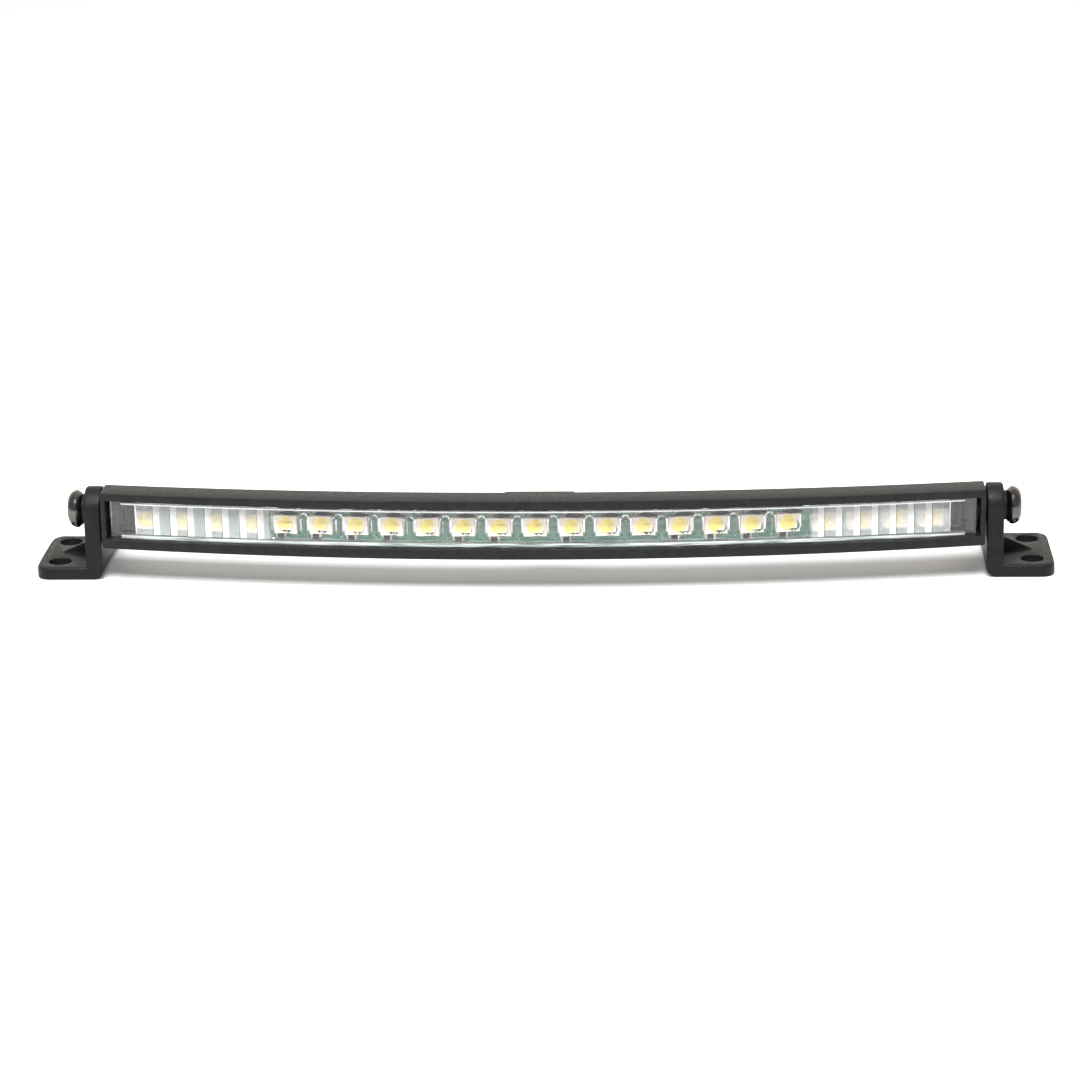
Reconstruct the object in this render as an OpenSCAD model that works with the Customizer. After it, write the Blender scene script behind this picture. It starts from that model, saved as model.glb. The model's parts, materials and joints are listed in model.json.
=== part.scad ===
// Curved slim LED light bar on two bolt-down end brackets, with a tilt pivot at each end.
// Millimetres. The origin is the centre of the four foot holes, on the surface under the feet.
// +X runs along the bar, +Y points to its rear, +Z is up, and the light shines towards -Y.

/* [Bar] */
// Length of the housing between its flat ends
bar_l = 131.34; // [130.5:0.02:131.4]
// Height of the housing at its middle
bar_h = 9.01; // [8.9:0.01:9.2]
// Loss of height at each edge, from the middle to the ends
bar_crown = 0.22; // [0:0.02:0.4]
// Height of the housing's lower edge above the mounting surface
bar_z = 5.09; // [4.8:0.01:5.6]
// Radius of the curved front face, seen from above
front_r = 388; // [340:1:600]
// How far the middle of the front face stands ahead of the hole centre line
front_y = 14.77; // [14.3:0.01:15.2]
// Depth of the flat top, before the rear slopes in
top_d = 4.88; // [4.6:0.01:5.2]
// Depth at which the rear slopes end
slope_d = 7.45; // [7.2:0.01:7.6]
// Drop of each rear slope
slope_h = 1.8; // [1.4:0.1:2]
// Depth of the housing without the cable outlet
bar_d = 8.45; // [8.3:0.01:8.8]
// Depth of the grooves between the cooling fins
fin_d = 0.7; // [0.4:0.1:0.8]

/* [Window] */
// Height of the window in the front face
window_h = 5.96; // [5.8:0.01:6.1]
// Height of the window's lower edge above the mounting surface
window_z = 6.73; // [6.6:0.01:6.9]
// Thickness of the housing's end walls
end_wall = 0.72; // [0.6:0.01:1]
// Clearance between the lens and the window edge
lens_gap = 0.1; // [0.05:0.01:0.2]
// Depth of the lens's front face behind the bezel
lens_d = 0.3; // [0.2:0.05:0.5]
// Depth of the lower end flanges of the lens
flange_d = 1; // [0.8:0.1:1.2]
// Depth of the back of the lens plate
plate_d = 2; // [1.8:0.1:2.1]

/* [Lights] */
// Distance from one LED to the next
led_pitch = 5.35; // [5.2:0.05:5.4]
// Shift of the board and its LEDs along the bar
board_shift = -0.6; // [-0.8:0.1:0.8]
// Depth of the LED faces behind the front face
led_d = 2.6; // [2.5:0.05:2.7]
// Height of the LED centres above the mounting surface
led_z = 9.5; // [9.4:0.05:9.8]
// Length of the circuit board
board_l = 121.2; // [119:0.2:121.4]

/* [Brackets] */
// Length over both feet
overall_l = 152.4; // [151:0.2:156]
// Depth of each foot
foot_y = 16.2; // [15:0.2:18]
// Thickness of each foot
foot_t = 1.88; // [1.6:0.02:2.4]
// Thickness of each upright
post_t = 2.5; // [2:0.1:2.6]
// Radius of the upright's round top
post_r = 3.4; // [3.2:0.1:3.6]
// Distance between the hole centres of the two feet
hole_x = 146; // [145:0.2:147]
// Distance between the two holes of one foot
hole_y = 9.65; // [9:0.05:10]
// Radius of the foot holes
hole_r = 1.7; // [1.6:0.05:1.8]

/* [Pivot] */
// Height of the tilt axis above the mounting surface
pivot_z = 10.2; // [10:0.1:10.4]
// Radius of the pivot screw's thread
screw_r = 1.5; // [1.4:0.05:1.5]
// Radius of the pivot screw's head
head_r = 2.85; // [2.7:0.05:2.95]
// Thickness of the pivot screw's head
head_t = 2.15; // [1.8:0.05:2.3]
// Length of the pivot screw under its head
screw_l = 6; // [5.5:0.5:6.5]
// Running clearance around the pivot screw in the bracket
pivot_fit = 0.05; // [0.02:0.01:0.09]

/* [Hidden] */
$fn = 96;
tiny = 0.01;
// Longer than the bar is deep, for cuts that run right through it
through = 40;
led_count = 23;
// LEDs of each end that shine through ribs instead of cups
flood_count = 4;
cup_count = led_count - 2 * flood_count;
// LEDs with a resistor beside them, one for each pair of LEDs in series
resistor_at = [4, 5, 6, 7, 8, 10, 11, 13, 16, 17, 18, 19];

bar_mid_z = bar_z + bar_h / 2;
cup_zone = cup_count * led_pitch / 2;
rib_pitch = led_pitch / 2;
ribs_per_side = 2 * flood_count;
// Distance from the middle to the first rib, whose flat lies over the first LED beside the cups
rib_start = cup_zone + rib_pitch + board_shift;
rib_w = 0.95;
rib_deep = 0.55;
rib_inset = 0.05;

// Circuit board and the hollow behind it
led_w = 3.5;
led_h = 2.8;
led_t = 0.75;
phosphor_r = 1.2;
phosphor_deep = 0.1;
board_d = led_d + led_t;
board_t = 0.8;
board_edge = 0.15;
ledge_h = 0.97;
ledge_d = board_d + board_t;
hollow_d = 6.6;
resistor = [1.6, 0.45, 0.76];
resistor_z = 7.31;
resistor_shift = -0.8;

// Lens
lens_z = window_z + lens_gap;
lens_h = window_h - 2 * lens_gap;
lens_rim = 0.45;
block_half = 63.05;
block_inset = 0.1;
flange_half = 64.85;
dimple_r = 0.9;
dimple_deep = 0.35;

// Brackets and pivot
end_x = bar_l / 2;
post_x = 66;
head_x = post_x + post_t + 0.5;
boss_t = 0.5;
boss_r = 2.2;
pivot_y = -foot_y / 2 + post_r;
spacer_r = 2.6;
spacer_gap = 0.02;
inner_boss_r = 2.4;
inner_boss_x = 61.9;
thread_bite = 0.15;
bend_r = 1.5;
corner_r = 2;
rib_t = 0.75;
rib_h = 2;
rib_end_x = 73.6;
socket_r = 1.15;
socket_deep = 1.2;
rim_t = 0.7;

// Cable outlet at the middle of the rear
outlet_half = 5.2;
outlet_proud = 0.5;
outlet_d = 9.4;
outlet_z = 9.4;
cable_r = 1.3;

LED_NAMES = [for (i = [1:led_count]) str("led_", i < 10 ? "0" : "", i)];

black = "#26272b";
board_green = "#4f7f6c";
clear = "#cfe3ea";
led_white = "#f3e2d6";
steel = "#43464c";
resistor_dark = "#1d1d1f";

// Places its children at distance s along the front arc: there x runs along the bar
// and y is the depth behind the front face.
module on_arc(s) {
    translate([0, front_r - front_y, 0])
        rotate([0, 0, s / front_r * 180 / PI])
            translate([0, -front_r, 0]) children();
}

// Turns an outline of [depth, height] about the arc's centre, half_l to each side of the middle.
module along_arc(half_l, middle = 0) {
    half_a = half_l / front_r * 180 / PI;
    middle_a = middle / front_r * 180 / PI;
    translate([0, front_r - front_y, 0])
        rotate_extrude(angle = 2 * half_a, start = 270 + middle_a - half_a, $fn = 256)
            translate([front_r, 0]) mirror([1, 0]) children();
}

// Cylinder along X through the tilt axis, from x0 to x1.
module on_pivot(r, x0, x1) {
    translate([x0, pivot_y, pivot_z]) rotate([0, 90, 0]) cylinder(r = r, h = x1 - x0);
}

// Cross-section of the housing: flat top and bottom, sloped rear, three grooves between fins.
module housing_section() {
    low = bar_z;
    high = bar_z + bar_h;
    fins = 4;
    rear_h = bar_h - 2 * slope_h;
    fin_pitch = rear_h / (2 * fins - 1);
    difference() {
        polygon([[0, low], [0, high], [top_d, high], [slope_d, high - slope_h],
                 [bar_d, high - slope_h], [bar_d, low + slope_h], [slope_d, low + slope_h],
                 [top_d, low]]);
        for (i = [1:fins - 1])
            translate([bar_d - fin_d, low + slope_h + (2 * i - 1) * fin_pitch])
                square([fin_d + 1, fin_pitch]);
    }
}

// Outline of the housing from the front: straight ends, and edges that close in a little.
module front_outline() {
    steps = 8;
    function drop(x) = bar_crown * pow(x / end_x, 2);
    xs = [for (i = [-steps:steps]) end_x * i / steps];
    polygon(concat([for (x = xs) [x, bar_z + drop(x)]],
                   [for (i = [len(xs) - 1:-1:0]) [xs[i], bar_z + bar_h - drop(xs[i])]]));
}

// Space for the lens and the board, then a narrower one behind the ledges that hold the board.
module cavity() {
    ends = end_x - end_wall;
    intersection() {
        along_arc(end_x + 2) {
            translate([-1, window_z]) square([ledge_d + 1, window_h]);
            translate([ledge_d - tiny, window_z + ledge_h])
                square([hollow_d - ledge_d + tiny, window_h - 2 * ledge_h]);
        }
        translate([-ends, -front_y - 1, 0]) cube([2 * ends, through, through]);
    }
}

// Raised block at the rear that the lead leaves through, its top level with the housing.
module cable_outlet() {
    high = bar_z + bar_h;
    foot = bar_z + slope_h + 0.3;
    slope_end = high - slope_h / (slope_d - top_d) * (outlet_d - top_d - outlet_proud);
    translate([-outlet_half, -front_y, 0]) rotate([90, 0, 90])
        linear_extrude(2 * outlet_half)
            polygon([[top_d - 1, high], [top_d + outlet_proud, high], [outlet_d, slope_end],
                     [outlet_d, foot], [top_d - 1, foot]]);
}

module housing() {
    color(black) difference() {
        union() {
            difference() {
                union() {
                    intersection() {
                        along_arc(end_x + 2) housing_section();
                        translate([0, through / 4, 0]) rotate([90, 0, 0])
                            linear_extrude(through) front_outline();
                    }
                    cable_outlet();
                }
                cavity();
            }
            for (side = [-1, 1]) {
                on_pivot(inner_boss_r, side > 0 ? inner_boss_x : -end_x + tiny,
                         side > 0 ? end_x - tiny : -inner_boss_x);
                on_pivot(spacer_r, side > 0 ? end_x - end_wall / 2 : -post_x + spacer_gap,
                         side > 0 ? post_x - spacer_gap : -end_x + end_wall / 2);
            }
        }
        on_pivot(screw_r - thread_bite, -post_x - 1, -inner_boss_x + 1);
        on_pivot(screw_r - thread_bite, inner_boss_x - 1, post_x + 1);
        translate([0, -front_y + ledge_d, outlet_z]) rotate([-90, 0, 0])
            cylinder(r = cable_r, h = outlet_d);
    }
}

module lens() {
    block_z = lens_z + block_inset;
    block_h = lens_h - 2 * block_inset;
    color(clear, 0.4) difference() {
        union() {
            along_arc(block_half) {
                translate([lens_d, block_z]) square([plate_d - lens_d, block_h]);
                translate([flange_d, lens_z]) square([plate_d - flange_d, lens_h]);
                for (z = [lens_z, lens_z + lens_h - lens_rim])
                    translate([plate_d - tiny, z])
                        square([board_d - plate_d - lens_gap / 2 + tiny, lens_rim]);
            }
            along_arc(flange_half)
                translate([flange_d, lens_z]) square([plate_d - flange_d, lens_h]);
        }
        for (i = [0:cup_count - 1])
            on_arc((i - (cup_count - 1) / 2) * led_pitch) front_dimple();
        for (side = [-1, 1], i = [0:ribs_per_side - 1])
            on_arc(side * (rib_start + i * rib_pitch)) rear_rib_cut(side);
    }
}

// Small round dimple in the front of a cup.
module front_dimple() {
    translate([0, lens_d - tiny, bar_mid_z + block_inset]) rotate([-90, 0, 0])
        cylinder(r1 = dimple_r, r2 = dimple_r / 2, h = dimple_deep + tiny);
}

// Saw-tooth cut in the back of the lens: steep on its outer side, sloped towards the middle.
module rear_rib_cut(side) {
    past = 0.3;
    slope_w = rib_w * (1 + past / rib_deep);
    translate([0, 0, lens_z + lens_rim + rib_inset])
        linear_extrude(lens_h - 2 * (lens_rim + rib_inset))
            polygon([[0, plate_d - rib_deep], [0, plate_d + past],
                     [-side * slope_w, plate_d + past]]);
}

module led_board() {
    color(board_green)
        along_arc(board_l / 2, board_shift)
            translate([board_d, window_z + board_edge])
                square([board_t, window_h - 2 * board_edge]);
}

function led_s(i) = (i - (led_count + 1) / 2) * led_pitch + board_shift;

// One LED package: a white frame with a round phosphor well in its face.
module led(i) {
    color(led_white) on_arc(led_s(i)) difference() {
        translate([-led_w / 2, led_d, led_z - led_h / 2]) cube([led_w, led_t, led_h]);
        translate([0, led_d - 1, led_z]) rotate([-90, 0, 0])
            cylinder(r = phosphor_r, h = 1 + phosphor_deep);
    }
}

module chip_resistors() {
    color(resistor_dark)
        for (i = resistor_at) on_arc(led_s(i) + resistor_shift)
            translate([-resistor[0] / 2, board_d - resistor[1], resistor_z]) cube(resistor);
}

// Side view of an upright: straight front, round top about the pivot, sloped back to the foot.
module post_profile() {
    reach = [foot_y / 2 - pivot_y, foot_t - pivot_z];
    far = norm(reach);
    tangent = 90 + atan2(reach[1], reach[0]) - asin(post_r / far);
    touch = [pivot_y, pivot_z] + post_r * [cos(tangent), sin(tangent)];
    translate([pivot_y, pivot_z]) circle(r = post_r);
    polygon([[-foot_y / 2, 0], [-foot_y / 2, pivot_z], [pivot_y, pivot_z], touch,
             [foot_y / 2, foot_t], [foot_y / 2, 0]]);
}

module foot_plan() {
    foot_x = overall_l / 2;
    translate([post_x, -foot_y / 2]) square([foot_x - corner_r - post_x, foot_y]);
    translate([post_x, -foot_y / 2 + corner_r])
        square([foot_x - post_x, foot_y - 2 * corner_r]);
    for (side = [-1, 1])
        translate([foot_x - corner_r, side * (foot_y / 2 - corner_r)]) circle(r = corner_r);
}

// Bracket of the +X end.
module bracket() {
    color(black) difference() {
        union() {
            linear_extrude(foot_t) foot_plan();
            translate([post_x, 0, 0]) rotate([90, 0, 90]) linear_extrude(post_t) post_profile();
            on_pivot(boss_r, post_x + post_t - tiny, post_x + post_t + boss_t);
            translate([0, rib_t / 2, 0]) rotate([90, 0, 0]) linear_extrude(rib_t)
                polygon([[post_x + post_t - tiny, foot_t - tiny], [rib_end_x, foot_t - tiny],
                         [rib_end_x, foot_t], [post_x + post_t + 0.4, foot_t + rib_h],
                         [post_x + post_t - tiny, foot_t + rib_h]]);
        }
        on_pivot(screw_r + pivot_fit, post_x - 1, head_x + 1);
        for (side = [-1, 1])
            translate([hole_x / 2, side * hole_y / 2, -1]) cylinder(r = hole_r, h = foot_t + 2);
        bend_cut();
    }
}

// What the round bend takes off the lower inner edge.
module bend_cut() {
    difference() {
        translate([post_x - 1, -foot_y, -1]) cube([bend_r + 1, 2 * foot_y, bend_r + 1]);
        translate([post_x + bend_r, foot_y + 1, bend_r]) rotate([90, 0, 0])
            cylinder(r = bend_r, h = 2 * foot_y + 2);
    }
}

// Screw of the +X end: a low domed head with a hexagon socket, and its threaded shank.
module pivot_screw() {
    start_x = head_x + spacer_gap;
    color(steel) difference() {
        union() {
            on_pivot(screw_r, head_x - screw_l, start_x + tiny);
            translate([start_x, pivot_y, pivot_z]) rotate([90, 0, 90])
                rotate_extrude() head_outline();
        }
        translate([start_x + head_t - socket_deep, pivot_y, pivot_z]) rotate([0, 90, 0])
            cylinder(r = socket_r, h = socket_deep + 1, $fn = 6);
    }
}

// Half outline of the head: under-cut rim, then an arc up to the flat around the socket.
module head_outline() {
    under_r = 2.3;
    flat_r = 1.5;
    arc_steps = 6;
    // The arc's points run from the rim's edge to the flat top.
    points = [for (i = [0:arc_steps]) let (a = i / arc_steps * 90)
              [flat_r + (head_r - flat_r) * cos(a), rim_t + (head_t - rim_t) * sin(a)]];
    polygon(concat([[0, 0], [under_r, 0]], points, [[0, head_t]]));
}

housing();
lens();
led_board();
chip_resistors();
mirror([1, 0, 0]) bracket();  // left_bracket
bracket();  // right_bracket
mirror([1, 0, 0]) pivot_screw();  // left_pivot_screw
pivot_screw();  // right_pivot_screw
for (i = [1:led_count])
    led(i);
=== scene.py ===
"""Curved LED light bar on two end brackets: the visible pieces, built around the CAD frame.

Pieces are built in millimetres and turned into metres when they are finished. The bar's
front is an arc seen from above: s runs along it, d is the depth behind it, z is up.
"""

import json
import math

import bmesh
import bpy
from mathutils import Matrix, Vector


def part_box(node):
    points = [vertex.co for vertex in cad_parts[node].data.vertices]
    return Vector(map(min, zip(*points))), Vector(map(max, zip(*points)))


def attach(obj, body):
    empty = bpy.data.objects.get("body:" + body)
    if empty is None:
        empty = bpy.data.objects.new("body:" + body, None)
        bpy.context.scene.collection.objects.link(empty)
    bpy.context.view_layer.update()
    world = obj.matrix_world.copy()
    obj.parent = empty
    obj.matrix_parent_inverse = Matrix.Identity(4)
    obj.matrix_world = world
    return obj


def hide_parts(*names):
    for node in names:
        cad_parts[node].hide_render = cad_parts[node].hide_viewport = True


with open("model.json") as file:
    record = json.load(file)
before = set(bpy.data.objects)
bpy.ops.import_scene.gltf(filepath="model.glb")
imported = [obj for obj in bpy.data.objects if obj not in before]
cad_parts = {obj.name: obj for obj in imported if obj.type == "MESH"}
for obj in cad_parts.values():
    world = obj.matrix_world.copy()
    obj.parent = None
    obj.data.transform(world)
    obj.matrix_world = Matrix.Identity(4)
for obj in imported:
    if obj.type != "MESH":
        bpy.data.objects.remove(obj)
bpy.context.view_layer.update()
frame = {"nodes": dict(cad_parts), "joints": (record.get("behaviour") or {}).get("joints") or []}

MM = 0.001
TINY = 0.01
ARC_STEPS = 96


def box_mm(node):
    """Lowest and highest corner of a CAD node, in millimetres."""
    low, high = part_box(node)
    return low / MM, high / MM


# ---------------------------------------------------------------- sizes, in millimetres
# Names in _D are depths behind the front's arc, and those in _Z are heights above the floor.
housing_low, housing_high = box_mm("housing")
lens_low, lens_high = box_mm("lens")
board_low, board_high = box_mm("led_board")
bracket_low, bracket_high = box_mm("right_bracket")
screw_low, screw_high = box_mm("right_pivot_screw")

# Housing: outer section, crown towards the ends, and cooling fins
FRONT_R = 388.0
FRONT_Y = -housing_low.y
ARC_Y = FRONT_R - FRONT_Y

BAR_Z = housing_low.z
BAR_TOP = housing_high.z
BAR_H = BAR_TOP - BAR_Z
BAR_MID_Z = (BAR_Z + BAR_TOP) / 2
SPACER_T = 0.31
END_X = housing_high.x - SPACER_T
CROWN = 0.22
TOP_D = 4.88
SLOPE_D = 7.45
SLOPE_H = 1.8
BAR_D = 8.45
FIN_D = 0.7
FINS = 4

# Window in the front, and the hollow with its ledges for the board
WINDOW_Z = 6.73
WINDOW_H = 5.96
WINDOW_TOP = WINDOW_Z + WINDOW_H
END_WALL = 0.72
LEDGE_D = 4.15
LEDGE_H = 0.97
HOLLOW_D = 6.6

# Lens: stepped block, end flanges, rims, saw-tooth ribs, front lip and cup dimples
LENS_Z = lens_low.z
LENS_TOP = lens_high.z
LENS_D = 0.3
FLANGE_D = 1.0
PLATE_D = 2.0
BLOCK_HALF = 63.05
BLOCK_INSET = 0.1
FLANGE_HALF = 64.85
LENS_RIM = 0.45
RIB_W = 0.95
RIB_DEEP = 0.55
ROOT_W = 0.13
LIP_H = 0.58
LIP_TOP = LENS_Z + BLOCK_INSET + LIP_H
GROOVE_W = 0.24
GROOVE_DEEP = 0.12
FRONT_BEVEL = 0.24
DIMPLE_R = 0.9
DIMPLE_DEEP = 0.35
CUP_Z = BAR_MID_Z + 0.1

# Board, LEDs and resistors; a resistor sits beside each LED of RESISTOR_AT, counted from 1
LED_NAMES = sorted(n for n in frame["nodes"] if n.startswith("led_") and n[4:].isdigit())
LED_COUNT = len(LED_NAMES)
FLOOD_COUNT = 4
CUP_COUNT = LED_COUNT - 2 * FLOOD_COUNT
PITCH = 5.35
BOARD_SHIFT = -0.6
LED_D = 2.6
LED_T = 0.75
BOARD_D = LED_D + LED_T
BOARD_T = 0.8
LED_W = 3.5
LED_H = 2.8
LED_Z = 9.5
PHOSPHOR_R = 1.2
RIB_START = (CUP_COUNT + 1) * PITCH / 2 + BOARD_SHIFT
RESISTOR_AT = [4, 5, 6, 7, 8, 10, 11, 13, 16, 17, 18, 19]
RESISTOR_SHIFT = -0.8
RESISTOR_Z = 7.69

# Ridges on the back of the lens: brows over the cups, walls at their ends, arches between LEDs
BROW_HALF = 1.7
BROW_Z = 11.4
BROW_ARCH = 0.38
BROW_SAG = 0.25
EDGE_WALL_HALF = 0.12
EDGE_WALL_S = CUP_COUNT * PITCH / 2 + 0.1
ARCH_HALF = 0.66
ARCH_TOP = 11.0
ARCH_FOOT = 8.3
ARCH_WALL = 0.3

# Brackets, measured on the right one, and the screws they turn on
PIVOT_Y, PIVOT_Z = (c / MM for c in frame["joints"][0]["pos_m"][1:])
POST_X = bracket_low.x
FOOT_X = bracket_high.x
FOOT_Y = bracket_high.y
FOOT_T = 1.88
POST_T = 2.5
POST_R = bracket_high.z - PIVOT_Z
BOSS_T = 0.5
BOSS_R = 2.2
BEND_R = 1.5
CORNER_R = 2.0
HOLE_X = 73.0
HOLE_Y = 4.825
HOLE_R = 1.7
GUSSET_T = 0.75
GUSSET_H = 2.0
GUSSET_X = 73.6
SCREW_R = 1.5
THREAD_DEEP = 0.15
BORE_R = 1.55


# ---------------------------------------------------------------- building helpers
def on_arc(s, d=0.0, z=0.0):
    """Point at distance s along the front's arc and depth d behind it."""
    a = s / FRONT_R
    r = FRONT_R - d
    return Vector((r * math.sin(a), ARC_Y - r * math.cos(a), z))


def at_x(x, d, z):
    """Point with that x at depth d behind the front's arc."""
    return Vector((x, ARC_Y - math.sqrt((FRONT_R - d) ** 2 - x * x), z))


def turned_to(s):
    """Matrix that puts local x along the bar and local y into its depth, at s on the arc."""
    return Matrix.Translation((0, ARC_Y, 0)) @ Matrix.Rotation(s / FRONT_R, 4, "Z") \
        @ Matrix.Translation((0, -FRONT_R, 0))


def depth_of(p):
    return FRONT_R - math.hypot(p.x, ARC_Y - p.y)


def spread(start, end, count):
    """count + 1 evenly spaced numbers from start to end."""
    return [start + (end - start) * i / count for i in range(count + 1)]


def arc_points(cx, cy, r, start, end, count):
    """Points of an arc in a plane, angles in degrees."""
    return [(cx + r * math.cos(math.radians(a)), cy + r * math.sin(math.radians(a)))
            for a in spread(start, end, count)]


def skin(bm, rings, slot=0):
    """Joins closed rings of equal length with quads and closes both ends."""
    rows = [[bm.verts.new(p) for p in ring] for ring in rings]
    for a, b in zip(rows, rows[1:]):
        join_rings(bm, a, b, slot)
    for row in (rows[0], rows[-1]):
        bm.faces.new(row).material_index = slot


def join_rings(bm, a, b, slot=0):
    """One quad between each pair of neighbouring points of two rings."""
    for i in range(len(a)):
        j = (i + 1) % len(a)
        bm.faces.new((a[i], a[j], b[j], b[i])).material_index = slot


def swept(bm, outline, start, end, steps):
    """A section of (d, z) points carried along the arc from start to end."""
    skin(bm, [[on_arc(s, d, z) for d, z in outline] for s in spread(start, end, steps)])


def prism(bm, outline, low, high, place, slot=0):
    """A straight prism of an outline; place turns (u, v, w) into a point."""
    skin(bm, [[place(u, v, w) for u, v in outline] for w in (low, high)], slot)


def lathe(bm, outline, matrix=Matrix(), steps=48, slot=0):
    """A closed solid of revolution about local x, from (x, radius) points."""
    rows = []
    for x, r in outline:
        if r < 1e-6:
            rows.append([bm.verts.new(matrix @ Vector((x, 0, 0)))])
            continue
        rows.append([bm.verts.new(matrix @ Vector((x, r * math.cos(a), r * math.sin(a))))
                     for a in spread(0, 2 * math.pi, steps)[:-1]])
    for a, b in zip(rows, rows[1:]):
        if len(a) > 1 and len(b) > 1:
            join_rings(bm, a, b, slot)
            continue
        tip, ring = (a[0], b) if len(a) == 1 else (b[0], a)
        for i in range(len(ring)):
            bm.faces.new((tip, ring[i], ring[(i + 1) % len(ring)])).material_index = slot
    for row in (rows[0], rows[-1]):
        if len(row) > 1:
            bm.faces.new(row).material_index = slot


def on_pivot():
    """Matrix that puts local x on the tilt axis."""
    return Matrix.Translation((0, PIVOT_Y, PIVOT_Z))


def linked(mesh):
    """A new object of the mesh, in the scene."""
    obj = bpy.data.objects.new("work", mesh)
    bpy.context.scene.collection.objects.link(obj)
    return obj


def solid(bm, materials=()):
    """An object of the mesh, in millimetres, with its faces turned outwards."""
    bmesh.ops.recalc_face_normals(bm, faces=bm.faces)
    mesh = bpy.data.meshes.new("work")
    bm.to_mesh(mesh)
    bm.free()
    for m in materials:
        mesh.materials.append(m)
    return linked(mesh)


def shape(build, materials=()):
    """The solid that build(bm) makes."""
    bm = bmesh.new()
    build(bm)
    return solid(bm, materials)


def apply_modifiers(obj):
    graph = bpy.context.evaluated_depsgraph_get()
    made = bpy.data.meshes.new_from_object(obj.evaluated_get(graph))
    obj.modifiers.clear()
    old, obj.data = obj.data, made
    bpy.data.meshes.remove(old)


def combine(obj, tool, operation):
    """Boolean of two solids; the tool is used up, and its faces keep its materials."""
    modifier = obj.modifiers.new("combine", "BOOLEAN")
    modifier.operation = operation
    modifier.solver = "EXACT"
    modifier.material_mode = "TRANSFER"
    modifier.object = tool
    apply_modifiers(obj)
    mesh = tool.data
    bpy.data.objects.remove(tool)
    bpy.data.meshes.remove(mesh)


def round_edges(obj, radius_of, segments=3, sharp=25):
    """Rounds each sharp edge by radius_of(its middle), in millimetres."""
    bm = bmesh.new()
    bm.from_mesh(obj.data)
    bmesh.ops.remove_doubles(bm, verts=bm.verts, dist=0.002)
    bmesh.ops.dissolve_degenerate(bm, edges=bm.edges, dist=0.001)
    weight = bm.edges.layers.float.new("bevel_weight_edge")
    radii = {}
    for e in bm.edges:
        if len(e.link_faces) == 2 and e.calc_face_angle(0) > math.radians(sharp):
            a, b = (v.co for v in e.verts)
            radii[e] = radius_of((a + b) / 2)
    widest = max(radii.values(), default=0)
    for e, r in radii.items():
        e[weight] = r / widest if widest > 0 else 0
    bm.to_mesh(obj.data)
    bm.free()
    if widest > 0:
        bevel = obj.modifiers.new("round", "BEVEL")
        bevel.limit_method = "WEIGHT"
        bevel.width = widest
        bevel.segments = segments
        bevel.use_clamp_overlap = False
        apply_modifiers(obj)
    return obj


def mirror(obj):
    """Turns the solid over to the other end of the bar."""
    obj.data.transform(Matrix.Scale(-1, 4, (1, 0, 0)))
    obj.data.flip_normals()


def finish_mesh(mesh, name, smooth):
    """Turns millimetres into metres and shades smoothly up to that angle."""
    mesh.name = name
    mesh.transform(Matrix.Scale(MM, 4))
    mesh.shade_smooth()
    mesh.set_sharp_from_angle(angle=math.radians(smooth))


def join_frame(obj, name, body, nodes):
    """Says what the object rides on, and hides the CAD nodes that it stands for."""
    obj.name = name
    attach(obj, body)
    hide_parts(*nodes)


def piece(obj, name, body, nodes, smooth=30):
    """Finishes a solid that is already in its place."""
    finish_mesh(obj.data, name, smooth)
    join_frame(obj, name, body, nodes)


# ---------------------------------------------------------------- materials
class Paint:
    """A Principled material and the few node chains that the pieces need."""

    def __init__(self, name, **sockets):
        self.material = bpy.data.materials.new(name)
        self.material.use_nodes = True
        self.tree = self.material.node_tree
        self.shader = self.tree.nodes["Principled BSDF"]
        for socket, value in sockets.items():
            self.shader.inputs[socket.replace("_", " ")].default_value = value

    def node(self, kind, **values):
        made = self.tree.nodes.new("ShaderNode" + kind)
        for name, value in values.items():
            if hasattr(made, name):
                setattr(made, name, value)
            else:
                made.inputs[name.replace("_", " ")].default_value = value
        return made

    def link(self, a, b):
        self.tree.links.new(a, b)

    def noise(self, size_mm, detail=3.0, stretch=(1, 1, 1)):
        """Noise whose features are about size_mm across, in object space."""
        place = self.node("TexCoord")
        scale = self.node("Mapping", Scale=stretch)
        made = self.node("TexNoise", Scale=1 / (size_mm * MM), Detail=detail)
        self.link(place.outputs["Object"], scale.inputs["Vector"])
        self.link(scale.outputs["Vector"], made.inputs["Vector"])
        return made.outputs["Fac"]

    def ranged(self, value, low, high, start=0.3, end=0.7):
        """The value, spread from low to high."""
        made = self.node("MapRange", From_Min=start, From_Max=end, To_Min=low, To_Max=high)
        self.link(value, made.inputs["Value"])
        return made.outputs["Result"]

    def colours(self, value, stops):
        """A colour ramp over the value, from (place, colour) stops."""
        made = self.node("ValToRGB")
        elements = made.color_ramp.elements
        while len(elements) < len(stops):
            elements.new(1)
        for element, (place, colour) in zip(elements, stops):
            element.position = place
            element.color = (*colour, 1)
        self.link(value, made.inputs["Fac"])
        return made.outputs["Color"]

    def bump(self, value, height_mm, strength=1.0):
        made = self.node("Bump", Distance=height_mm * MM, Strength=strength)
        self.link(value, made.inputs["Height"])
        self.link(made.outputs["Normal"], self.shader.inputs["Normal"])

    def base(self, value, stops):
        self.link(self.colours(value, stops), self.shader.inputs["Base Color"])

    def rough(self, value, low, high):
        self.link(self.ranged(value, low, high), self.shader.inputs["Roughness"])


def moulded_plastic(name, dark, light, grain_mm, sheen):
    """Black moulding with a fine grain and slightly uneven gloss."""
    paint = Paint(name, IOR=1.46, Specular_IOR_Level=sheen)
    paint.base(paint.noise(1.6, 4), [(0.35, dark), (0.65, light)])
    paint.rough(paint.noise(0.5, 5), 0.4, 0.58)
    paint.bump(paint.noise(grain_mm, 2), 0.012, 0.7)
    return paint.material


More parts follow.
